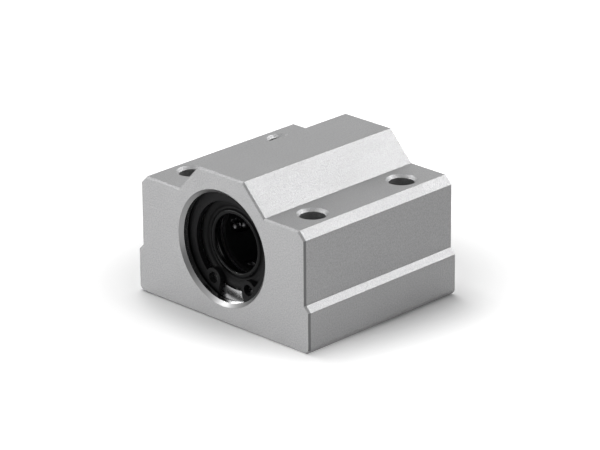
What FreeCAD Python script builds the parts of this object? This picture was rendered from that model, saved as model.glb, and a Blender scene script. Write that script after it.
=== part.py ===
"""Linear bearing block: a ball bushing for a 10 mm shaft, held in an aluminium housing by two circlips.

Frame: X across the block, Y along the shaft, Z up, origin at the centre of the base. Millimetres.
Each piece of the bushing is drawn about the shaft axis and then lifted to the bore height.
"""

import FreeCAD, Part
import math
import os
import Sketcher

Vector = FreeCAD.Vector

SIZES = (
    # housing: an extruded profile, cut to length and bored
    ("block_length", 35.0),
    ("block_height", 26.0),
    ("base_width", 40.0),
    ("base_fillet", 1.2),
    ("ledge_low", 7.4),
    ("ledge_high", 8.4),
    ("ledge_step", 0.95),
    ("wing_height", 21.0),
    ("wing_chamfer", 1.4),
    ("hump_foot_width", 19.9),
    ("hump_top_width", 10.4),
    ("end_edge_break", 0.3),
    ("bore_height", 13.0),
    ("bore_chamfer", 0.6),
    ("hole_diameter", 4.3),
    ("hole_mouth_diameter", 5.3),
    ("hole_spacing_across", 28.0),
    ("hole_spacing_along", 21.0),
    # outer cylinder of the bushing
    ("shaft_diameter", 10.0),
    ("sleeve_diameter", 19.0),
    ("sleeve_recess", 3.0),
    ("seating_play", 0.01),
    ("outer_groove_depth", 0.5),
    ("outer_groove_width", 1.3),
    ("outer_groove_inset", 3.5),
    # balls and the flat racetrack that each circuit follows
    ("circuits", 4),
    ("ball_diameter", 1.984),
    ("ball_gap", 0.05),
    ("ball_play", 0.02),
    ("balls_per_turn", 3),
    ("track_dip", 0.015),
    ("land_overrun", 0.2),
    # cage
    ("cage_bore_play", 0.25),
    ("cage_play", 0.1),
    ("cage_end_wall", 0.7),
    ("track_play", 0.06),
    ("lip_half_width", 0.87),
    ("lip_depth", 0.55),
    ("channel_angle", 27.0),
    ("channel_side_angle", 1.2),
    # side rings, seals and circlips
    ("side_ring_thickness", 0.8),
    ("side_ring_play", 1.0),
    ("pressed_play", 0.05),
    ("seal_recess", 0.3),
    ("seal_thickness", 1.95),
    ("seal_lip_width", 0.6),
    ("seal_lip_length", 0.8),
    ("seal_lip_proud", 0.2),
    ("circlip_thickness", 1.0),
    ("circlip_groove_width", 1.1),
    ("circlip_groove_depth", 0.5),
    ("circlip_play", 0.05),
    ("circlip_width_top", 2.3),
    ("circlip_width_bottom", 1.9),
    ("lug_inset", 2.1),
    ("lug_radius", 1.65),
    ("lug_angle", 31.0),
    ("lug_hole_diameter", 2.0),
    ("lug_gap_angle", 18.5),
)

DERIVED = (
    ("bore_radius", "sizes.sleeve_diameter / 2 + sizes.seating_play"),
    ("ball_radius", "sizes.ball_diameter / 2"),
    ("turn_radius", "(sizes.ball_diameter + sizes.ball_gap) / (2 * sin(90 / sizes.balls_per_turn))"),
    ("ball_pitch", "pi * turn_radius / sizes.balls_per_turn"),
    ("load_radius", "sizes.shaft_diameter / 2 + sizes.ball_play + ball_radius"),
    ("track_level", "load_radius - sizes.track_dip"),
    ("load_across", "-sqrt(load_radius ^ 2 - track_level ^ 2)"),
    ("return_across", "load_across + 2 * turn_radius"),
    ("return_radius", "sqrt(track_level ^ 2 + return_across ^ 2)"),
    ("return_angle", "atan(return_across / track_level)"),
    ("land_radius", "load_radius + ball_radius + sizes.ball_play"),
    ("channel_radius", "return_radius + ball_radius + sizes.track_play"),
    ("sleeve_end", "sizes.block_length / 2 - sizes.sleeve_recess"),
    ("seal_end", "sleeve_end - sizes.seal_recess"),
    ("seal_start", "seal_end - sizes.seal_thickness"),
    ("side_ring_end", "seal_start - sizes.pressed_play"),
    ("side_ring_start", "side_ring_end - sizes.side_ring_thickness"),
    ("cage_end", "side_ring_start - sizes.pressed_play"),
    ("turn_reach", "turn_radius + ball_radius + sizes.track_play + sizes.cage_end_wall"),
    ("balls_per_row", "floor(2 * (cage_end - turn_reach) / ball_pitch)"),
    ("row_length", "balls_per_row * ball_pitch"),
    ("land_end", "row_length / 2 + sizes.land_overrun"),
    ("groove_radius", "sizes.sleeve_diameter / 2 + sizes.circlip_groove_depth"),
    ("circlip_centre", "sleeve_end + sizes.circlip_groove_width / 2"),
    ("circlip_radius", "groove_radius - sizes.circlip_play"),
    ("lug_circle_radius", "groove_radius - sizes.lug_inset"),
)

doc = FreeCAD.newDocument("linear_bearing_block")


def make_sheet():
    """Driving dimensions, one alias a row."""
    sheet = doc.addObject("Spreadsheet::Sheet", "sizes")
    for row, (alias, value) in enumerate(SIZES, start=1):
        sheet.set(f"A{row}", alias)
        sheet.set(f"B{row}", str(value))
        sheet.setAlias(f"B{row}", alias)
    doc.recompute()
    return sheet


def make_derived():
    """Places and radii that follow from the driving dimensions."""
    values = doc.addObject("App::VarSet", "fit")
    for name, expression in DERIVED:
        values.addProperty("App::PropertyFloat", name, "Fit")
        values.setExpression(name, expression)
    doc.recompute()
    return values


sizes = make_sheet()
fit = make_derived()


# ---------------------------------------------------------------- drawing helpers


def new_body(name, turned=False, along=None):
    """A body named after its piece; the bushing's pieces sit on the shaft axis."""
    body = doc.addObject("PartDesign::Body", name)
    body.Label = name
    if turned:
        body.Placement.Rotation = FreeCAD.Rotation(Vector(0, 0, 1), 180)
    if name != "housing":
        body.setExpression(".Placement.Base.z", "sizes.bore_height")
    if along:
        body.setExpression(".Placement.Base.y", along)
    return body


def origin_of(body, role):
    return next(item for item in body.Origin.OriginFeatures if item.Role == role)


def new_sketch(body, name, plane, lift=None, tilt=None):
    """An empty sketch on an origin plane, lifted off it or tilted about its own X axis."""
    sketch = body.newObject("Sketcher::SketchObject", name)
    sketch.AttachmentSupport = [(origin_of(body, plane), "")]
    sketch.MapMode = "FlatFace"
    if lift:
        sketch.setExpression(".AttachmentOffset.Base.z", lift)
    if tilt:
        sketch.AttachmentOffset = FreeCAD.Placement(Vector(), FreeCAD.Rotation(Vector(1, 0, 0), 1))
        sketch.setExpression(".AttachmentOffset.Rotation.Angle", tilt)
    return sketch


def bind(sketch, kind, *where):
    """Add a constraint whose value is the expression given last."""
    *where, expression = where
    index = sketch.addConstraint(Sketcher.Constraint(kind, *where, 1.0))
    sketch.setExpression(f"Constraints[{index}]", expression)


def place_point(sketch, geometry, point, across, up):
    bind(sketch, "DistanceX", -1, 1, geometry, point, across)
    bind(sketch, "DistanceY", -1, 1, geometry, point, up)


def draw_outline(sketch, corners):
    """A closed outline of straight lines through corners given as pairs of expressions."""
    first = sketch.GeometryCount
    count = len(corners)
    ring = [Vector(math.cos(2 * math.pi * i / count), math.sin(2 * math.pi * i / count), 0) for i in range(count)]
    for i in range(count):
        sketch.addGeometry(Part.LineSegment(ring[i], ring[(i + 1) % count]))
    for i in range(count):
        sketch.addConstraint(Sketcher.Constraint("Coincident", first + i, 2, first + (i + 1) % count, 1))
    for i, (across, up) in enumerate(corners):
        place_point(sketch, first + i, 1, across, up)


def draw_circle(sketch, across, up, radius):
    index = sketch.addGeometry(Part.Circle(Vector(0, 0, 0), Vector(0, 0, 1), 1.0))
    place_point(sketch, index, 3, across, up)
    bind(sketch, "Radius", index, radius)


def draw_racetrack(sketch, across, half_length, radius):
    """Two half circles joined by straight lines along the sketch's Y axis."""
    far = sketch.addGeometry(Part.ArcOfCircle(Part.Circle(Vector(0, 5, 0), Vector(0, 0, 1), 2), 0, math.pi))
    near = sketch.addGeometry(Part.ArcOfCircle(Part.Circle(Vector(0, -5, 0), Vector(0, 0, 1), 2), math.pi, 2 * math.pi))
    left = sketch.addGeometry(Part.LineSegment(Vector(-2, 5, 0), Vector(-2, -5, 0)))
    right = sketch.addGeometry(Part.LineSegment(Vector(2, -5, 0), Vector(2, 5, 0)))
    for one, one_end, other, other_end in ((far, 2, left, 1), (left, 2, near, 1), (near, 2, right, 1), (right, 2, far, 1)):
        sketch.addConstraint(Sketcher.Constraint("Coincident", one, one_end, other, other_end))
    for arc, up in ((far, half_length), (near, f"-({half_length})")):
        place_point(sketch, arc, 3, across, up)
        bind(sketch, "Radius", arc, radius)
        sketch.addConstraint(Sketcher.Constraint("Horizontal", arc, 3, arc, 1))
        sketch.addConstraint(Sketcher.Constraint("Horizontal", arc, 3, arc, 2))


def mirrored(corners):
    """Corners on the positive side, followed by their mirror images in reverse order."""
    return corners + [(f"-({across})", up) for across, up in reversed(corners)]


def add_feature(body, kind, name, sketch, **settings):
    feature = body.newObject(f"PartDesign::{kind}", name)
    feature.Profile = sketch
    for key, value in settings.items():
        setattr(feature, key, value)
    body.Tip = feature
    return feature


def add_pad(body, name, sketch, length):
    """A pad that grows equally to both sides of its sketch."""
    pad = add_feature(body, "Pad", name, sketch, Midplane=True)
    pad.setExpression("Length", length)
    return pad


def add_cut_through(body, name, sketch):
    return add_feature(body, "Pocket", name, sketch, Type="ThroughAll", Midplane=True)


def add_polar(body, name, originals):
    """Repeat features once a ball circuit, about the shaft axis."""
    pattern = body.newObject("PartDesign::PolarPattern", name)
    pattern.Originals = originals
    pattern.Axis = (origin_of(body, "Y_Axis"), [""])
    pattern.Angle = 360
    pattern.setExpression("Occurrences", "sizes.circuits")
    body.Tip = pattern
    return pattern


def edge_names(feature, wanted):
    """Names of the edges of a feature that a test accepts."""
    doc.recompute()
    return [f"Edge{i}" for i, edge in enumerate(feature.Shape.Edges, start=1) if wanted(edge)]


def dress(body, kind, name, feature, wanted, size):
    """Fillet or chamfer the wanted edges of a feature."""
    edges = edge_names(feature, wanted)
    dressed = body.newObject(f"PartDesign::{kind}", name)
    dressed.Base = (feature, edges)
    dressed.setExpression("Radius" if kind == "Fillet" else "Size", size)
    body.Tip = dressed
    doc.recompute()
    return dressed


# ---------------------------------------------------------------- housing


def make_housing():
    body = new_body("housing")
    section = new_sketch(body, "housing_section", "XZ_Plane")
    draw_outline(section, mirrored([
        ("sizes.base_width / 2", "0"),
        ("sizes.base_width / 2", "sizes.ledge_low"),
        ("sizes.base_width / 2 - sizes.ledge_step", "sizes.ledge_high"),
        ("sizes.base_width / 2 - sizes.ledge_step", "sizes.wing_height - sizes.wing_chamfer"),
        ("sizes.base_width / 2 - sizes.ledge_step - sizes.wing_chamfer", "sizes.wing_height"),
        ("sizes.hump_foot_width / 2", "sizes.wing_height"),
        ("sizes.hump_top_width / 2", "sizes.block_height"),
    ]))
    extrusion = add_pad(body, "extrusion", section, "sizes.block_length")
    rounded = dress(body, "Fillet", "base_rounding", extrusion, is_base_edge, "sizes.base_fillet")
    broken = dress(body, "Chamfer", "end_edges", rounded, is_end_edge, "sizes.end_edge_break")
    bore_block(body)
    drill_block(body)
    return body


def is_base_edge(edge):
    """The two long bottom edges of the extrusion."""
    box = edge.BoundBox
    return box.ZMax < 0.001 and box.YLength > sizes.block_length - 0.001


def is_end_edge(edge):
    """Every edge of the two sawn ends."""
    box = edge.BoundBox
    return box.YLength < 0.001 and abs(abs(box.YMin) - sizes.block_length / 2) < 0.001


def bore_block(body):
    """The through bore with its two circlip grooves and chamfered mouths, cut in one turn."""
    section = new_sketch(body, "bore_section", "YZ_Plane")
    wall = "sizes.bore_height + fit.bore_radius"
    groove = "sizes.bore_height + fit.groove_radius"
    groove_start = "fit.circlip_centre - sizes.circlip_groove_width / 2"
    groove_end = "fit.circlip_centre + sizes.circlip_groove_width / 2"
    draw_outline(section, mirrored([
        ("sizes.block_length / 2", "sizes.bore_height"),
        ("sizes.block_length / 2", f"{wall} + sizes.bore_chamfer"),
        ("sizes.block_length / 2 - sizes.bore_chamfer", wall),
        (groove_end, wall),
        (groove_end, groove),
        (groove_start, groove),
        (groove_start, wall),
    ]))
    axis = section.addGeometry(Part.LineSegment(Vector(-1, 0, 0), Vector(1, 0, 0)), True)
    place_point(section, axis, 1, "-sizes.block_length / 2", "sizes.bore_height")
    place_point(section, axis, 2, "sizes.block_length / 2", "sizes.bore_height")
    return add_feature(body, "Groove", "bore", section, ReferenceAxis=(section, ["Axis0"]), Angle=360)


def drill_block(body):
    """Four holes through the wings, countersunk at the top."""
    centres = new_sketch(body, "hole_centres", "XY_Plane", lift="sizes.wing_height")
    for side in ("-", ""):
        for end in ("-", ""):
            draw_circle(centres, f"{side}sizes.hole_spacing_across / 2", f"{end}sizes.hole_spacing_along / 2",
                        "sizes.hole_diameter / 2")
    doc.recompute()
    holes = add_feature(body, "Hole", "mounting_holes", centres, DepthType="ThroughAll", DrillPoint="Flat",
                        HoleCutType="Countersink", HoleCutCustomValues=True, HoleCutCountersinkAngle=90)
    holes.setExpression("Diameter", "sizes.hole_diameter")
    holes.setExpression("HoleCutDiameter", "sizes.hole_mouth_diameter")
    return holes


# ---------------------------------------------------------------- bushing


def make_sleeve():
    """The hardened outer cylinder: ball lands inside, with a channel for each returning row."""
    body = new_body("bearing_sleeve")
    section = new_sketch(body, "sleeve_section", "YZ_Plane")
    outside = "sizes.sleeve_diameter / 2"
    end = "fit.sleeve_end"
    groove_end = "fit.sleeve_end - sizes.outer_groove_inset"
    groove_start = f"{groove_end} - sizes.outer_groove_width"
    groove = f"{outside} - sizes.outer_groove_depth"
    counterbore = "fit.channel_radius"
    draw_outline(section, [
        (f"-({end})", counterbore),
        (f"-({end})", outside),
        (f"-({groove_end})", outside),
        (f"-({groove_end})", groove),
        (f"-({groove_start})", groove),
        (f"-({groove_start})", outside),
        (groove_start, outside),
        (groove_start, groove),
        (groove_end, groove),
        (groove_end, outside),
        (end, outside),
        (end, counterbore),
        ("fit.land_end", counterbore),
        ("fit.land_end", "fit.land_radius"),
        ("-fit.land_end", "fit.land_radius"),
        ("-fit.land_end", counterbore),
    ])
    add_feature(body, "Revolution", "sleeve_turning", section, ReferenceAxis=(section, ["H_Axis"]), Angle=360)
    channel = new_sketch(body, "channel_section", "YZ_Plane", tilt="fit.return_angle")
    draw_outline(channel, mirrored([
        ("fit.land_end", "fit.load_radius"),
        ("fit.land_end", "fit.channel_radius"),
    ]))
    cut = add_feature(body, "Groove", "return_channel", channel, ReferenceAxis=(channel, ["H_Axis"]), Midplane=True)
    cut.setExpression("Angle", "sizes.channel_angle")
    add_polar(body, "return_channels", [cut])
    return body


def make_cage():
    """The plastic cage: a tube with a rib in each channel, and a closed stepped track for each circuit."""
    body = new_body("ball_cage")
    inside = "sizes.shaft_diameter / 2 + sizes.cage_bore_play"
    outside = "fit.land_radius - sizes.cage_play"
    tube = new_sketch(body, "cage_section", "YZ_Plane")
    draw_outline(tube, mirrored([("fit.cage_end", inside), ("fit.cage_end", outside)]))
    add_feature(body, "Revolution", "cage_tube", tube, ReferenceAxis=(tube, ["H_Axis"]), Angle=360)
    rib = new_sketch(body, "rib_section", "YZ_Plane", tilt="fit.return_angle")
    draw_outline(rib, mirrored([
        ("fit.cage_end", "fit.load_radius"),
        ("fit.cage_end", "fit.channel_radius - sizes.cage_play"),
    ]))
    ridge = add_feature(body, "Revolution", "rib", rib, ReferenceAxis=(rib, ["H_Axis"]), Midplane=True)
    ridge.setExpression("Angle", "sizes.channel_angle - 2 * sizes.channel_side_angle")
    add_polar(body, "ribs", [ridge])
    half_width = "fit.ball_radius + sizes.track_play"
    upper = cut_track(body, "ball_track", "fit.track_level - sizes.lip_depth", half_width)
    lower = cut_track(body, "track_floor", f"fit.track_level - ({half_width})", "sizes.lip_half_width")
    add_polar(body, "ball_tracks", [upper, lower])
    return body


def cut_track(body, name, floor, half_width):
    """A racetrack groove of a given width, open outwards above its floor."""
    sketch = new_sketch(body, f"{name}_plan", "XY_Plane", lift=floor)
    for side in ("+", "-"):
        draw_racetrack(sketch, "fit.load_across + fit.turn_radius", "fit.row_length / 2",
                       f"fit.turn_radius {side} ({half_width})")
    return add_feature(body, "Pocket", name, sketch, Type="ThroughAll", Reversed=True)


def make_side_ring(name, turned):
    """The steel ring that holds the cage and backs up the seal."""
    body = new_body(name, turned)
    section = new_sketch(body, f"{name}_section", "YZ_Plane")
    inside = "sizes.shaft_diameter / 2 + sizes.side_ring_play"
    rim = "fit.channel_radius - sizes.pressed_play"
    draw_outline(section, [
        ("-fit.side_ring_end", inside),
        ("-fit.side_ring_end", rim),
        ("-fit.side_ring_start", rim),
        ("-fit.side_ring_start", inside),
    ])
    add_feature(body, "Revolution", f"{name}_turning", section, ReferenceAxis=(section, ["H_Axis"]), Angle=360)
    return body


def make_seal(name, turned):
    """A rubber seal whose lip stands a little proud around the shaft; behind the lip it opens out."""
    body = new_body(name, turned)
    section = new_sketch(body, f"{name}_section", "YZ_Plane")
    face = "-fit.seal_end"
    lip = "sizes.shaft_diameter / 2"
    lip_root = f"{lip} + sizes.seal_lip_width"
    rim = "fit.channel_radius - sizes.pressed_play"
    draw_outline(section, [
        (f"{face} - sizes.seal_lip_proud", lip),
        (f"{face} - sizes.seal_lip_proud", lip_root),
        (face, lip_root),
        (face, rim),
        ("-fit.seal_start", rim),
        ("-fit.seal_start", "sizes.shaft_diameter / 2 + sizes.side_ring_play"),
        (f"{face} - sizes.seal_lip_proud + sizes.seal_lip_length", lip),
    ])
    add_feature(body, "Revolution", f"{name}_moulding", section, ReferenceAxis=(section, ["H_Axis"]), Angle=360)
    return body


def make_circlip(name, turned):
    """An internal retaining ring: an eccentric band that ends in two lugs with plier holes."""
    body = new_body(name, turned, along="fit.circlip_centre" if turned else "-fit.circlip_centre")
    band = new_sketch(body, f"{name}_band", "XZ_Plane")
    draw_circle(band, "0", "0", "fit.circlip_radius")
    draw_circle(band, "0", "(sizes.circlip_width_bottom - sizes.circlip_width_top) / 2",
                "fit.circlip_radius - (sizes.circlip_width_top + sizes.circlip_width_bottom) / 2")
    add_pad(body, f"{name}_ring", band, "sizes.circlip_thickness")
    lugs = new_sketch(body, f"{name}_lug_plan", "XZ_Plane")
    draw_lug_circles(lugs, "sizes.lug_radius")
    add_pad(body, f"{name}_lugs", lugs, "sizes.circlip_thickness")
    gap = new_sketch(body, f"{name}_gap_plan", "XZ_Plane")
    top = "fit.lug_circle_radius / 2"
    bottom = "fit.groove_radius * 1.1"
    draw_outline(gap, [
        (f"-{top} * tan(sizes.lug_gap_angle)", f"-{top}"),
        (f"{top} * tan(sizes.lug_gap_angle)", f"-{top}"),
        (f"({bottom}) * tan(sizes.lug_gap_angle)", f"-({bottom})"),
        (f"-({bottom}) * tan(sizes.lug_gap_angle)", f"-({bottom})"),
    ])
    add_cut_through(body, f"{name}_gap", gap)
    holes = new_sketch(body, f"{name}_hole_plan", "XZ_Plane")
    draw_lug_circles(holes, "sizes.lug_hole_diameter / 2")
    add_cut_through(body, f"{name}_plier_holes", holes)
    return body


def draw_lug_circles(sketch, radius):
    for side in ("-", ""):
        draw_circle(sketch, f"{side}fit.lug_circle_radius * sin(sizes.lug_angle)",
                    "-fit.lug_circle_radius * cos(sizes.lug_angle)", radius)


# ---------------------------------------------------------------- balls


def ball_solid(centre):
    """A ball drawn as a twenty-faced solid inside it, because eighty smooth ones would weigh the model down."""
    top = centre + Vector(0, 0, fit.ball_radius)
    bottom = centre - Vector(0, 0, fit.ball_radius)
    upper = ball_ring(centre, 1, 0)
    lower = ball_ring(centre, -1, 0.5)
    faces = []
    for i in range(5):
        faces.append((top, upper[i - 1], upper[i]))
        faces.append((upper[i - 1], lower[i - 1], upper[i]))
        faces.append((lower[i - 1], lower[i], upper[i]))
        faces.append((bottom, lower[i], lower[i - 1]))
    shell = Part.makeShell([Part.Face(Part.makePolygon([*corners, corners[0]])) for corners in faces])
    return Part.makeSolid(shell)


def ball_ring(centre, side, start):
    """Five corners above or below the middle of a ball."""
    lean = math.atan(0.5)
    turns = [2 * math.pi * (i + start) / 5 for i in range(5)]
    level = side * math.sin(lean)
    directions = [Vector(math.cos(lean) * math.cos(turn), math.cos(lean) * math.sin(turn), level) for turn in turns]
    return [centre + direction * fit.ball_radius for direction in directions]


def row_centres(across):
    """Ball centres of a straight row, evenly spaced about the middle of the block."""
    count = int(fit.balls_per_row)
    start = (fit.ball_pitch - fit.row_length) / 2
    return [Vector(across, start + i * fit.ball_pitch, fit.track_level) for i in range(count)]


def turn_centres(end):
    """Ball centres of an end turn; end is -1 at the front and 1 at the rear."""
    centres = []
    for i in range(sizes.balls_per_turn):
        angle = math.pi * (i + 0.5) / sizes.balls_per_turn
        across = fit.load_across + fit.turn_radius * (1 - math.cos(angle))
        along = end * (fit.row_length / 2 + fit.turn_radius * math.sin(angle))
        centres.append(Vector(across, along, fit.track_level))
    return centres


def make_balls():
    """Four groups of balls in each circuit: the loaded row, the returning row and the two turns."""
    groups = {
        "ball_row_load": row_centres(fit.load_across),
        "ball_row_return": row_centres(fit.return_across),
        "ball_turn_front": turn_centres(-1),
        "ball_turn_rear": turn_centres(1),
    }
    made = []
    for circuit in range(sizes.circuits):
        turn = FreeCAD.Rotation(Vector(0, 1, 0), 360 * circuit / sizes.circuits)
        for name, centres in groups.items():
            node = doc.addObject("Part::Feature", f"{name}_{circuit + 1}")
            node.Label = node.Name
            node.Shape = Part.makeCompound([ball_solid(centre) for centre in centres])
            node.Placement = FreeCAD.Placement(Vector(0, 0, sizes.bore_height), turn)
            made.append(node)
    return made


# ---------------------------------------------------------------- build, check and export

pieces = [
    make_housing(),
    make_sleeve(),
    make_cage(),
    make_side_ring("front_side_ring", False),
    make_side_ring("rear_side_ring", True),
    make_seal("front_seal", False),
    make_seal("rear_seal", True),
    make_circlip("front_circlip", False),
    make_circlip("rear_circlip", True),
]
doc.recompute()
pieces += make_balls()
doc.recompute()

for item in doc.Objects:
    if "Invalid" in item.State or "Error" in item.State:
        raise RuntimeError(f"{item.Name} failed: {item.State}")
for piece in pieces:
    if piece.Shape.isNull() or not piece.Shape.isValid():
        raise RuntimeError(f"{piece.Label} has no valid shape")

os.makedirs("parts", exist_ok=True)
for piece in pieces:
    piece.Shape.exportStep(f"parts/{piece.Label}.step")
    print(piece.Label, len(piece.Shape.Solids), round(piece.Shape.Volume, 2))
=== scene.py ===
"""Linear bearing block: materials, balls, seals, threads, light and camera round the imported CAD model."""

import math

import bmesh
import bpy
from mathutils import Matrix, Vector


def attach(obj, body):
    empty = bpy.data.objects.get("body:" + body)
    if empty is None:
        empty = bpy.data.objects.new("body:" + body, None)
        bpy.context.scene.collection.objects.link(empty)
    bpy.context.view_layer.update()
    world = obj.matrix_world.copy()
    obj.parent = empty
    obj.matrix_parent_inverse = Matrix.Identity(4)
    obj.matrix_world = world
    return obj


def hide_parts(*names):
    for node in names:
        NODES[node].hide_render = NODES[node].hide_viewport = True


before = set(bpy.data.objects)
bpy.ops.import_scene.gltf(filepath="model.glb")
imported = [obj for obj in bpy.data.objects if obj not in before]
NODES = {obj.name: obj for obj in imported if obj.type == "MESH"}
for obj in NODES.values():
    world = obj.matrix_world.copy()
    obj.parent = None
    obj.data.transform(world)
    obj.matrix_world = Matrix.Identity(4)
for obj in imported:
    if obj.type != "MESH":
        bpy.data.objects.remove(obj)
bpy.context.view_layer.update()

MM = 0.001

# Sizes shared with the CAD source, in millimetres.
BORE_HEIGHT = 13.0
HOUSING_HALF = 17.5
GROOVE_RADIUS = 10.03
MOUTH_RADIUS = 10.14
MOUTH_DEPTH = 0.59
EDGE_BREAK = 0.305
SKIN = 0.005
GROOVE_STEP = 1.75
SHAFT_RADIUS = 5.0
BALL_RADIUS = 0.992
BALL_GAP = 0.05
TRACK_DIP = 0.015
BALLS_PER_ROW = 7
BALLS_PER_TURN = 3
CIRCUITS = 4
HOLE_RADIUS = 2.15
HOLE_CENTRES = [(x, y) for x in (-14.0, 14.0) for y in (-10.5, 10.5)]
THREAD_DEPTH = 12.0
THREAD_PITCH = 0.8
THREAD_INSET = 0.6
THREAD_HEIGHT = 0.13
THREAD_BITE = 0.03
ROOT_HALF, CREST_HALF = 0.3, 0.06
THREAD_STEPS = 40


# ---------------------------------------------------------------- node helpers


class Nodes:
    """Short hand for building a node tree."""

    def __init__(self, name):
        self.material = bpy.data.materials.new(name)
        self.material.use_nodes = True
        self.tree = self.material.node_tree
        self.tree.nodes.clear()
        self.out = self.add("ShaderNodeOutputMaterial")
        self.shader = self.add("ShaderNodeBsdfPrincipled")
        self.link(self.shader.outputs[0], self.out.inputs["Surface"])

    def add(self, kind, **settings):
        node = self.tree.nodes.new(kind)
        for key, value in settings.items():
            setattr(node, key, value)
        return node

    def link(self, source, target):
        self.tree.links.new(source, target)

    def put(self, value, target):
        """Set a socket to a number or colour, or link it."""
        if isinstance(value, bpy.types.NodeSocket):
            self.link(value, target)
        elif isinstance(value, tuple) and len(value) == 3 and target.type == "RGBA":
            target.default_value = (*value, 1.0)
        else:
            target.default_value = value

    def math(self, operation, a, b=None):
        node = self.add("ShaderNodeMath", operation=operation)
        for value, socket in zip((a, b), node.inputs):
            if value is not None:
                self.put(value, socket)
        return node.outputs[0]

    def below(self, value, limit):
        return self.math("LESS_THAN", value, limit)

    def above(self, value, limit):
        return self.math("GREATER_THAN", value, limit)

    def both(self, a, b):
        return self.math("MULTIPLY", a, b)

    def mix(self, factor, a, b):
        node = self.add("ShaderNodeMix", data_type="RGBA")
        self.put(factor, node.inputs["Factor"])
        self.put(a, node.inputs[6])
        self.put(b, node.inputs[7])
        return node.outputs[2]

    def blend(self, factor, a, b):
        node = self.add("ShaderNodeMix", data_type="FLOAT")
        self.put(factor, node.inputs["Factor"])
        self.put(a, node.inputs[2])
        self.put(b, node.inputs[3])
        return node.outputs[0]

    def ramp(self, value, low, high, a=0.0, b=1.0):
        node = self.add("ShaderNodeMapRange")
        self.put(value, node.inputs["Value"])
        for socket, number in zip(("From Min", "From Max", "To Min", "To Max"), (low, high, a, b)):
            self.put(number, node.inputs[socket])
        return node.outputs[0]

    def place(self):
        """The point in millimetres in the part's own frame, with its X, Y and Z."""
        coordinates = self.add("ShaderNodeTexCoord").outputs["Object"]
        scaled = self.add("ShaderNodeVectorMath", operation="SCALE")
        self.link(coordinates, scaled.inputs[0])
        scaled.inputs["Scale"].default_value = 1 / MM
        split = self.add("ShaderNodeSeparateXYZ")
        self.link(scaled.outputs[0], split.inputs[0])
        return scaled.outputs[0], split.outputs[0], split.outputs[1], split.outputs[2]

    def noise(self, vector, scale, detail=2.0, roughness=0.5):
        node = self.add("ShaderNodeTexNoise")
        self.link(vector, node.inputs["Vector"])
        node.inputs["Scale"].default_value = scale
        node.inputs["Detail"].default_value = detail
        node.inputs["Roughness"].default_value = roughness
        return node.outputs["Fac"]

    def stretch(self, vector, x, y, z):
        node = self.add("ShaderNodeMapping")
        self.link(vector, node.inputs["Vector"])
        node.inputs["Scale"].default_value = (x, y, z)
        return node.outputs[0]

    def bump(self, height, distance, strength=1.0, normal=None):
        node = self.add("ShaderNodeBump")
        node.inputs["Distance"].default_value = distance * MM
        self.put(strength, node.inputs["Strength"])
        self.link(height, node.inputs["Height"])
        if normal is not None:
            self.link(normal, node.inputs["Normal"])
        return node.outputs[0]

    def set(self, **sockets):
        for key, value in sockets.items():
            self.put(value, self.shader.inputs[key.replace("_", " ")])


def radius_about_bore(n, x, z):
    """Distance from the bore's axis, in millimetres."""
    up = n.math("SUBTRACT", z, BORE_HEIGHT)
    return n.math("SQRT", n.math("ADD", n.math("MULTIPLY", x, x), n.math("MULTIPLY", up, up)))


# ---------------------------------------------------------------- materials


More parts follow.
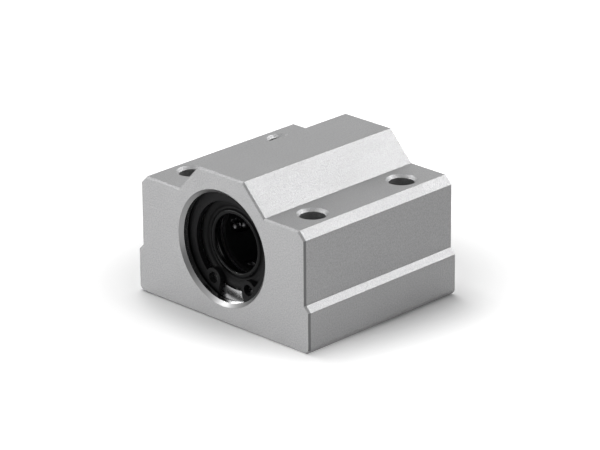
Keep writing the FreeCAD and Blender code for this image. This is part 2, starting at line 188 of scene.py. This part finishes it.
def blasted_aluminium():
    """Blasted and anodised extrusion, turned in the bore and its mouth, with painted shade on upright
    corners and groove edge.
    """
    n = Nodes("blasted_aluminium")
    point, x, y, z = n.place()
    radius = radius_about_bore(n, x, z)
    inwards = n.math("SUBTRACT", HOUSING_HALF, n.math("ABSOLUTE", y))
    grain = n.noise(point, 4.0, 3.0, 0.65)
    fine = n.noise(point, 14.0, 2.0, 0.7)
    cloud = n.noise(point, 0.12, 2.0)
    drawn = n.noise(n.stretch(point, 2.2, 0.03, 2.2), 1.0, 2.0)
    turned = n.noise(n.stretch(point, 0.05, 1.8, 0.05), 1.0, 1.0)

    tone = n.math("ADD", n.ramp(grain, 0.3, 0.7, -0.17, 0.17), n.ramp(cloud, 0.3, 0.7, -0.02, 0.02))
    tone = n.math("ADD", tone, n.ramp(drawn, 0.3, 0.7, -0.01, 0.01))
    colour = n.add("ShaderNodeHueSaturation")
    colour.inputs["Color"].default_value = (0.33, 0.33, 0.333, 1.0)
    n.link(n.math("ADD", tone, 1.0), colour.inputs["Value"])

    wall = n.both(n.below(radius, GROOVE_RADIUS), n.above(inwards, MOUTH_DEPTH))
    mouth = n.both(n.below(radius, MOUTH_RADIUS), n.below(inwards, MOUTH_DEPTH))
    edge = n.both(n.above(inwards, SKIN), n.below(inwards, EDGE_BREAK))
    edge = n.both(edge, n.above(radius, MOUTH_RADIUS))
    base = n.mix(mouth, colour.outputs[0], n.mix(turned, (0.24, 0.24, 0.242), (0.30, 0.30, 0.302)))
    # Painted shade: a near-black band in the bore wall at the circlip groove's edge, where the groove's
    # corner lies in shade.
    step = n.math("ABSOLUTE", n.math("SUBTRACT", inwards, GROOVE_STEP))
    shine = n.mix(turned, (0.55, 0.55, 0.555), (0.70, 0.70, 0.705))
    base = n.mix(wall, base, n.mix(n.ramp(step, 0.12, 0.3), (0.02, 0.02, 0.02), shine))
    # Painted shade: the upright corner breaks get a dark colour that stands in for the dark reflection they
    # catch; top edges keep the housing colour.
    facing = n.add("ShaderNodeSeparateXYZ")
    n.link(n.add("ShaderNodeTexCoord").outputs["Normal"], facing.inputs[0])
    sideways = n.above(n.math("ABSOLUTE", facing.outputs[0]), 0.62)
    corner = n.both(edge, sideways)
    base = n.mix(corner, base, (0.17, 0.17, 0.172))
    machined = n.math("MAXIMUM", mouth, wall)
    n.link(base, n.shader.inputs["Base Color"])
    rough = n.math("ADD", n.ramp(grain, 0.3, 0.7, 0.44, 0.54), n.ramp(cloud, 0.3, 0.7, -0.02, 0.02))
    rough = n.blend(mouth, n.blend(edge, rough, 0.6), 0.36)
    n.link(n.blend(wall, rough, 0.2), n.shader.inputs["Roughness"])
    n.set(Metallic=1.0)
    height = n.math("ADD", grain, n.math("MULTIPLY", fine, 0.4))
    blasted = n.bump(height, 0.06, n.math("SUBTRACT", 1.0, machined))
    marks = n.math("ADD", n.math("MULTIPLY", mouth, 0.15), wall)
    n.link(n.bump(turned, 0.012, marks, blasted), n.shader.inputs["Normal"])
    return n.material


def ground_steel():
    """Ground bearing steel, with fine marks round the axis."""
    n = Nodes("ground_steel")
    point = n.place()[0]
    marks = n.noise(n.stretch(point, 0.4, 22.0, 0.4), 1.0, 2.0)
    cloud = n.noise(point, 0.35, 2.0)
    n.link(n.mix(marks, (0.50, 0.50, 0.505), (0.62, 0.62, 0.625)), n.shader.inputs["Base Color"])
    n.link(n.ramp(cloud, 0.3, 0.7, 0.22, 0.32), n.shader.inputs["Roughness"])
    n.set(Metallic=1.0)
    n.link(n.bump(marks, 0.006), n.shader.inputs["Normal"])
    return n.material


def plain_steel():
    """Pressed steel of the side rings."""
    n = Nodes("plain_steel")
    point = n.place()[0]
    speckle = n.noise(point, 3.0, 3.0, 0.6)
    n.link(n.mix(speckle, (0.28, 0.28, 0.285), (0.42, 0.42, 0.425)), n.shader.inputs["Base Color"])
    n.link(n.ramp(speckle, 0.3, 0.7, 0.3, 0.42), n.shader.inputs["Roughness"])
    n.set(Metallic=1.0)
    n.link(n.bump(speckle, 0.01), n.shader.inputs["Normal"])
    return n.material


def phosphated_steel():
    """Black phosphated and oiled spring steel of the circlips."""
    n = Nodes("phosphated_steel")
    point = n.place()[0]
    crystal = n.noise(point, 9.0, 4.0, 0.65)
    patch = n.noise(point, 0.6, 2.0)
    n.link(n.mix(crystal, (0.004, 0.004, 0.0045), (0.014, 0.014, 0.015)), n.shader.inputs["Base Color"])
    rough = n.math("ADD", n.ramp(crystal, 0.3, 0.7, 0.34, 0.5), n.ramp(patch, 0.3, 0.7, -0.06, 0.06))
    n.link(rough, n.shader.inputs["Roughness"])
    n.set(Metallic=0.0, Specular_IOR_Level=0.10)
    n.link(n.bump(crystal, 0.02), n.shader.inputs["Normal"])
    return n.material


def moulded(name, dark, light, roughness, grain_size, wiped=0.0):
    """Moulded rubber or resin, dark, with a fine mould texture; inside the wiped radius it is smooth."""
    n = Nodes(name)
    point, x, _, z = n.place()
    grain = n.noise(point, grain_size, 3.0, 0.6)
    cloud = n.noise(point, 0.5, 2.0)
    n.link(n.mix(cloud, dark, light), n.shader.inputs["Base Color"])
    smooth = n.ramp(radius_about_bore(n, x, z), wiped, wiped + 0.15, 1.0, 0.0)
    rough = n.ramp(grain, 0.3, 0.7, roughness - 0.05, roughness + 0.07)
    n.link(n.blend(smooth, rough, 0.16), n.shader.inputs["Roughness"])
    n.set(Specular_IOR_Level=0.10)
    n.link(n.bump(grain, 0.02, n.math("SUBTRACT", 1.0, smooth)), n.shader.inputs["Normal"])
    return n.material


def polished_steel():
    """Lapped balls with the faintest haze, their steel coloured dark as painted shade for the dim inside of
    the bearing.
    """
    n = Nodes("polished_steel")
    point = n.place()[0]
    haze = n.noise(point, 1.6, 3.0, 0.6)
    # Painted shade: a dark steel colour so the balls stay dark inside the bore.
    n.link(n.mix(haze, (0.16, 0.16, 0.163), (0.22, 0.22, 0.224)), n.shader.inputs["Base Color"])
    n.link(n.ramp(haze, 0.3, 0.7, 0.27, 0.35), n.shader.inputs["Roughness"])
    n.set(Metallic=1.0)
    n.link(n.bump(haze, 0.001), n.shader.inputs["Normal"])
    return n.material


HOUSING_METAL = blasted_aluminium()
BALL_METAL = polished_steel()
FINISHES = {
    "housing": HOUSING_METAL,
    "bearing_sleeve": ground_steel(),
    "side_ring": plain_steel(),
    "circlip": phosphated_steel(),
    "seal": moulded("seal_rubber", (0.004, 0.004, 0.0043), (0.008, 0.008, 0.0085), 0.5, 7.0, 5.62),
    "ball_cage": moulded("cage_resin", (0.006, 0.006, 0.0065), (0.012, 0.012, 0.0125), 0.38, 5.0),
    "ball_": BALL_METAL,
}


def finish_of(name):
    return next(metal for word, metal in FINISHES.items() if word in name)


for name, node in NODES.items():
    node.data.materials.clear()
    node.data.materials.append(finish_of(name))


# ---------------------------------------------------------------- mesh helpers


def new_piece(name, mesh, body, material):
    """Put a mesh into the scene on a body, with its material."""
    mesh.materials.append(material)
    piece = bpy.data.objects.new(name, mesh)
    bpy.context.scene.collection.objects.link(piece)
    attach(piece, body)
    return piece


def about_axis(point, circuit):
    """Turn a millimetre point about the shaft axis to a circuit, lift it to the bore and give metres."""
    turned = Matrix.Rotation(math.radians(90 * circuit), 3, "Y") @ Vector(point)
    return (turned + Vector((0, 0, BORE_HEIGHT))) * MM


# ---------------------------------------------------------------- balls


TURN_RADIUS = (2 * BALL_RADIUS + BALL_GAP) / (2 * math.sin(math.radians(90 / BALLS_PER_TURN)))
PITCH = math.pi * TURN_RADIUS / BALLS_PER_TURN
ROW_LENGTH = BALLS_PER_ROW * PITCH
LOAD_RADIUS = SHAFT_RADIUS + 0.02 + BALL_RADIUS
TRACK_LEVEL = LOAD_RADIUS - TRACK_DIP
LOAD_ACROSS = -math.sqrt(LOAD_RADIUS ** 2 - TRACK_LEVEL ** 2)


def row_centres(across):
    start = (PITCH - ROW_LENGTH) / 2
    return [(across, start + i * PITCH, TRACK_LEVEL) for i in range(BALLS_PER_ROW)]


def turn_centres(end):
    centres = []
    for i in range(BALLS_PER_TURN):
        angle = math.radians(180 * (i + 0.5) / BALLS_PER_TURN)
        across = LOAD_ACROSS + TURN_RADIUS - TURN_RADIUS * math.cos(angle)
        centres.append((across, end * (ROW_LENGTH / 2 + TURN_RADIUS * math.sin(angle)), TRACK_LEVEL))
    return centres


def make_balls():
    """Smooth balls in place of the flat-faced ones, on the same bodies."""
    groups = {
        "row_load": row_centres(LOAD_ACROSS),
        "row_return": row_centres(LOAD_ACROSS + 2 * TURN_RADIUS),
        "turn_front": turn_centres(-1),
        "turn_rear": turn_centres(1),
    }
    for circuit in range(CIRCUITS):
        for group, centres in groups.items():
            work = bmesh.new()
            for centre in centres:
                place = Matrix.Translation(about_axis(centre, circuit))
                bmesh.ops.create_icosphere(work, subdivisions=4, radius=BALL_RADIUS * MM, matrix=place)
            for face in work.faces:
                face.smooth = True
            mesh = bpy.data.meshes.new(f"balls_{group}_{circuit + 1}")
            work.to_mesh(mesh)
            work.free()
            piece = new_piece(mesh.name, mesh, f"balls_{group}_{circuit + 1}", BALL_METAL)
            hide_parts(f"ball_{group}_{circuit + 1}")


make_balls()


# ---------------------------------------------------------------- seals


SEAL_SIDES = 128
ARC_STEPS = 7
RIM_ROUND = 0.25
CHANNEL_PLACE, CHANNEL_ROUND = 6.17, 0.4
LIP_ROUND = 0.36
LIP_ROOT = 5.55
LIP_BACK = 1.4
RIM_PLAY, END_PLAY = 0.02, 0.05


def arc(radius_place, depth_place, size, start, stop):
    """Points of an arc in the seal's section, from one angle in degrees to another."""
    angles = [math.radians(start + (stop - start) * i / ARC_STEPS) for i in range(ARC_STEPS + 1)]
    return [(radius_place + size * math.cos(a), depth_place + size * math.sin(a)) for a in angles]


def seal_section(node):
    """Radius and distance from the block's middle of each point, inside the CAD seal it replaces."""
    corners = [Vector(corner) / MM for corner in node.bound_box]
    rim = max(corner.x for corner in corners) - RIM_PLAY
    depths = [abs(corner.y) for corner in corners]
    back, face = min(depths) + END_PLAY, max(depths) - END_PLAY
    channel = arc(CHANNEL_PLACE, face + 0.05, CHANNEL_ROUND, -7, -173)
    lip = arc(SHAFT_RADIUS + LIP_ROUND, face + 0.03 - LIP_ROUND, LIP_ROUND, 67, 225)
    rounded_rim = arc(rim - RIM_ROUND, face - RIM_ROUND, RIM_ROUND, 0, 90)
    return [(rim, back), *rounded_rim, *channel, *lip, (LIP_ROOT, face - LIP_BACK), (LIP_ROOT, back)]


def make_seal(name, end):
    """The end seal with its rounded lip and the shallow channel round it."""
    section = seal_section(NODES[name])
    work = bmesh.new()
    rings = []
    for i in range(SEAL_SIDES):
        angle = 2 * math.pi * i / SEAL_SIDES
        ring = []
        for radius, depth in section:
            point = Vector((radius * math.cos(angle), end * depth, BORE_HEIGHT + radius * math.sin(angle)))
            ring.append(work.verts.new(point * MM))
        rings.append(ring)
    for near, far in zip(rings, rings[1:] + rings[:1]):
        for k in range(len(section)):
            j = (k + 1) % len(section)
            work.faces.new((near[k], near[j], far[j], far[k])).smooth = 0 < k < len(section) - 2
    bmesh.ops.recalc_face_normals(work, faces=work.faces)
    mesh = bpy.data.meshes.new(f"{name}_fine")
    work.to_mesh(mesh)
    work.free()
    piece = new_piece(mesh.name, mesh, "block", FINISHES["seal"])
    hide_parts(name)


for name, end in (("front_seal", -1), ("rear_seal", 1)):
    make_seal(name, end)


# ---------------------------------------------------------------- screw threads


def make_thread(name, centre):
    """The ridge of an M5 thread on the wall of one mounting hole, fading out at both ends."""
    turns = (THREAD_DEPTH - 2 * THREAD_INSET) / THREAD_PITCH
    count = int(turns * THREAD_STEPS)
    root = HOLE_RADIUS + THREAD_BITE
    rises = (-ROOT_HALF, -CREST_HALF, CREST_HALF, ROOT_HALF)
    work = bmesh.new()
    rings = []
    for i in range(count + 1):
        angle = 2 * math.pi * i / THREAD_STEPS
        height = THREAD_INSET + THREAD_PITCH * i / THREAD_STEPS
        fade = min(1.0, i / THREAD_STEPS, (count - i) / THREAD_STEPS)
        crest = HOLE_RADIUS - THREAD_HEIGHT * fade
        outwards = Vector((math.cos(angle), math.sin(angle), 0))
        foot = Vector((*centre, height))
        ring = []
        for radius, rise in zip((root, crest, crest, root), rises):
            point = foot + radius * outwards + Vector((0, 0, rise))
            ring.append(work.verts.new(point * MM))
        rings.append(ring)
    for near, far in zip(rings, rings[1:]):
        for k in range(4):
            work.faces.new((near[k], near[(k + 1) % 4], far[(k + 1) % 4], far[k]))
    work.faces.new(rings[0][::-1])
    work.faces.new(rings[-1])
    bmesh.ops.recalc_face_normals(work, faces=work.faces)
    mesh = bpy.data.meshes.new(name)
    work.to_mesh(mesh)
    work.free()
    new_piece(name, mesh, "block", HOUSING_METAL)


for number, centre in enumerate(HOLE_CENTRES, start=1):
    make_thread(f"thread_{number}", centre)


# ---------------------------------------------------------------- floor, world and lamps


AIM = Vector((0, 0, 12.0))

# Glow strengths, and the distances in millimetres between which each glow grows; the weak glow near the
# block is a painted shadow.
WORLD_LEVEL = 0.50
FLOOR_GLOW = (0.03, 0.42)
PAINTED_SHADOW_REACH = (23.0, 37.0)
PAINTED_SHADOW_CENTRE = (-5.0, 5.5)
PAINTED_SHADOW_STRETCH = 0.58
FAR_GLOW = (0.0, 0.20)
FAR_REACH = (60.0, 600.0)
MIRROR_SKEW = 0.55
MIRROR_GLOW = (0.04, 0.31)
MIRROR_REACH = (-16.0, 38.0)
DARK_SIDE = (0.66, -0.67, 0.34)
DARK_REACH = (0.72, 0.96)
DARK_LEVEL = 0.35
FLOOR_SIZE = 6.0
FLOOR_LEVEL = -0.00001
FLOOR_WHITE = 0.84


def make_floor():
    """A white sweep: its glow is weaker in an ellipse round the block, a painted shadow over the real one,
    and plain white further away.
    """
    bpy.ops.mesh.primitive_plane_add(size=FLOOR_SIZE, location=(0, 0, FLOOR_LEVEL))
    floor = bpy.context.object
    floor.name = "floor"
    n = Nodes("white_floor")
    x, y = n.place()[1:3]
    # Painted shadow: the glow seen by the camera drops in a stretched ellipse about this centre, darkest
    # near the block.
    right = n.math("SUBTRACT", x, PAINTED_SHADOW_CENTRE[0])
    back = n.math("SUBTRACT", y, PAINTED_SHADOW_CENTRE[1])
    along = n.math("MULTIPLY", n.math("ADD", right, back), PAINTED_SHADOW_STRETCH)
    across = n.math("MULTIPLY", n.math("SUBTRACT", back, right), math.sqrt(0.5))
    squares = n.math("ADD", n.math("MULTIPLY", along, along), n.math("MULTIPLY", across, across))
    away = n.math("SQRT", squares)
    shown = n.math("ADD", n.ramp(away, *PAINTED_SHADOW_REACH, *FLOOR_GLOW), n.ramp(away, *FAR_REACH, *FAR_GLOW))
    forwards = n.math("SUBTRACT", n.math("MULTIPLY", x, MIRROR_SKEW), y)
    mirrored = n.ramp(forwards, *MIRROR_REACH, *MIRROR_GLOW)
    path = n.add("ShaderNodeLightPath")
    level = n.math("ADD", n.math("MULTIPLY", shown, path.outputs["Is Camera Ray"]),
                   n.math("MULTIPLY", mirrored, path.outputs["Is Glossy Ray"]))
    diffuse = n.add("ShaderNodeBsdfDiffuse")
    diffuse.inputs["Color"].default_value = (FLOOR_WHITE, FLOOR_WHITE, FLOOR_WHITE, 1)
    glow = n.add("ShaderNodeEmission")
    n.link(level, glow.inputs["Strength"])
    both = n.add("ShaderNodeAddShader")
    n.link(diffuse.outputs[0], both.inputs[0])
    n.link(glow.outputs[0], both.inputs[1])
    n.link(both.outputs[0], n.out.inputs["Surface"])
    n.tree.nodes.remove(n.shader)
    floor.data.materials.append(n.material)


def make_world():
    """White to the camera, and a darker side and a lower level for what it lights."""
    world = bpy.data.worlds.new("studio")
    bpy.context.scene.world = world
    world.use_nodes = True
    tree = world.node_tree
    tree.nodes.clear()
    out = tree.nodes.new("ShaderNodeOutputWorld")
    back = tree.nodes.new("ShaderNodeBackground")
    back.inputs["Color"].default_value = (1, 1, 1, 1)
    path = tree.nodes.new("ShaderNodeLightPath")
    shown = tree.nodes.new("ShaderNodeMath")
    shown.operation = "MAXIMUM"
    tree.links.new(path.outputs["Is Camera Ray"], shown.inputs[0])
    tree.links.new(path.outputs["Is Glossy Ray"], shown.inputs[1])
    level = tree.nodes.new("ShaderNodeMapRange")
    level.inputs["To Min"].default_value = WORLD_LEVEL
    level.inputs["To Max"].default_value = 1.0
    tree.links.new(shown.outputs[0], level.inputs["Value"])
    direction = tree.nodes.new("ShaderNodeTexCoord")
    towards = tree.nodes.new("ShaderNodeVectorMath")
    towards.operation = "DOT_PRODUCT"
    towards.inputs[1].default_value = DARK_SIDE
    tree.links.new(direction.outputs["Generated"], towards.inputs[0])
    dark = tree.nodes.new("ShaderNodeMapRange")
    dark.interpolation_type = "SMOOTHSTEP"
    limits = (*DARK_REACH, 1.0, DARK_LEVEL)
    for socket, value in zip(("From Min", "From Max", "To Min", "To Max"), limits):
        dark.inputs[socket].default_value = value
    tree.links.new(towards.outputs["Value"], dark.inputs["Value"])
    kept = tree.nodes.new("ShaderNodeMath")
    kept.operation = "MAXIMUM"
    tree.links.new(dark.outputs[0], kept.inputs[0])
    tree.links.new(path.outputs["Is Camera Ray"], kept.inputs[1])
    both = tree.nodes.new("ShaderNodeMath")
    both.operation = "MULTIPLY"
    tree.links.new(level.outputs[0], both.inputs[0])
    tree.links.new(kept.outputs[0], both.inputs[1])
    tree.links.new(both.outputs[0], back.inputs["Strength"])
    tree.links.new(back.outputs[0], out.inputs["Surface"])


def make_lamp(name, place, size, power, spread=True, reflected=True):
    """An area lamp aimed at the block, with a switch each for matt and for shiny surfaces."""
    lamp = bpy.data.lights.new(name, "AREA")
    lamp.shape = "RECTANGLE"
    lamp.size, lamp.size_y = size
    lamp.energy = power
    holder = bpy.data.objects.new(name, lamp)
    holder.location = place
    holder.rotation_euler = (AIM * MM - Vector(place)).to_track_quat("-Z", "Y").to_euler()
    holder.visible_diffuse = spread
    holder.visible_glossy = reflected
    bpy.context.scene.collection.objects.link(holder)


make_floor()
make_world()
make_lamp("overhead", (-0.14, 0.035, 0.45), (0.26, 0.26), 1.35, reflected=False)
make_lamp("key", (0.223, 0.396, 0.392), (0.20, 0.20), 1.75, spread=False)
make_lamp("front", (-0.28, -0.46, 0.06), (0.44, 0.12), 1.2, spread=False)
make_lamp("glint", (-0.396, -0.168, 0.42), (0.10, 0.10), 1.2, spread=False)


# ---------------------------------------------------------------- camera


AZIMUTH, ELEVATION, ROLL = 44.657, 21.785, -0.445
DISTANCE, SHIFT_RIGHT, SHIFT_UP = 579.87, -0.539, -0.123
FOCAL_PIXELS = 3483.1
IMAGE_WIDTH = 600
SENSOR = 36.0


def make_camera():
    """A long lens from the front and right, fitted to the photo's perspective."""
    a, e, r = (math.radians(v) for v in (AZIMUTH, ELEVATION, ROLL))
    forward = Vector((-math.sin(a) * math.cos(e), math.cos(a) * math.cos(e), -math.sin(e)))
    right = Vector((math.cos(a), math.sin(a), 0))
    up = right.cross(forward)
    right, up = math.cos(r) * right + math.sin(r) * up, -math.sin(r) * right + math.cos(r) * up
    data = bpy.data.cameras.new("camera")
    data.sensor_width = SENSOR
    data.lens = FOCAL_PIXELS / IMAGE_WIDTH * SENSOR
    data.clip_start, data.clip_end = 0.01, 20.0
    camera = bpy.data.objects.new("camera", data)
    turn = Matrix((right, up, -forward)).transposed().to_4x4()
    spot = AIM - SHIFT_RIGHT * right - SHIFT_UP * up - DISTANCE * forward
    camera.matrix_world = Matrix.Translation(spot * MM) @ turn
    bpy.context.scene.collection.objects.link(camera)
    bpy.context.scene.camera = camera


make_camera()
bpy.context.scene.view_settings.view_transform = "Standard"
